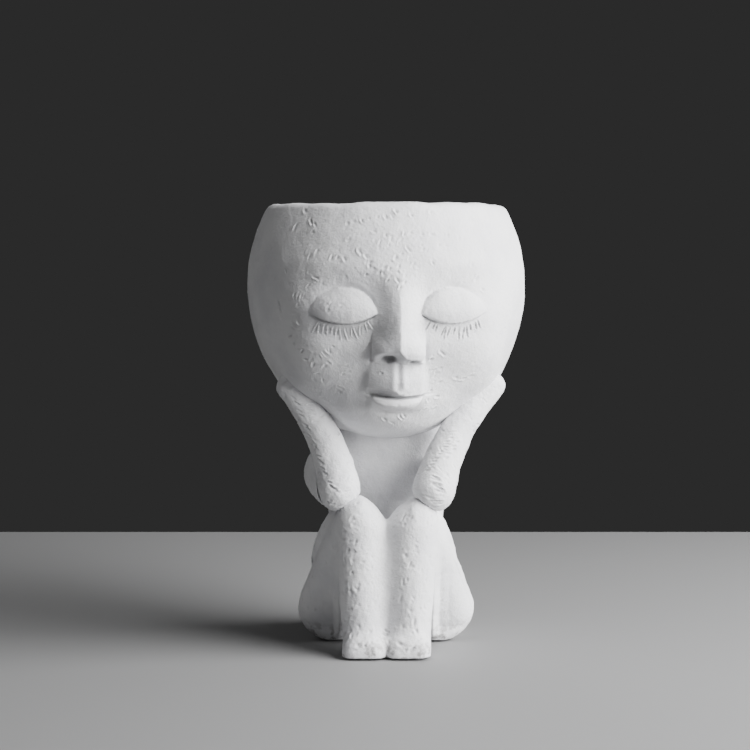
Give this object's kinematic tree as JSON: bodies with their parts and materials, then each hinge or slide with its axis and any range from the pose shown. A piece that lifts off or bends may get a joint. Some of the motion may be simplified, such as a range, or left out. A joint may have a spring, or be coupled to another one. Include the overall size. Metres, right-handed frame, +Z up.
{
  "type": "head planter",
  "caption": "Seated figure, chin in hands, whose hollow egg-shaped head with closed eyes is an open flower pot with a drain hole and a lift-out stopper.",
  "frame": {"origin": "on the floor, in the middle of the planter's box; the pot's upright axis stands 3.1 mm behind it", "axes": "+Z up along the pot's axis; the figure faces -Y and its own left side is +X"},
  "size_m": [0.133, 0.1404, 0.21],
  "materials": {
    "cast_resin": "matte white, hand-tooled",
    "stopper_rubber": "matte",
    "pad_rubber": "matte"
  },
  "bodies": {
    "figure": {"head_pot": "cast_resin", "torso": "cast_resin", "left_upper_arm": "cast_resin", "right_upper_arm": "cast_resin", "left_forearm": "cast_resin", "right_forearm": "cast_resin", "left_thigh": "cast_resin", "right_thigh": "cast_resin", "left_lower_leg": "cast_resin", "right_lower_leg": "cast_resin", "base_pads": "pad_rubber"},
    "stopper": {"drain_stopper": "stopper_rubber"}
  },
  "joints": [
    {"name": "stopper_lift", "type": "slide", "parent": "figure", "child": "stopper", "axis": [0, 0, 1], "range_m": [0, 0.116]}
  ]
}
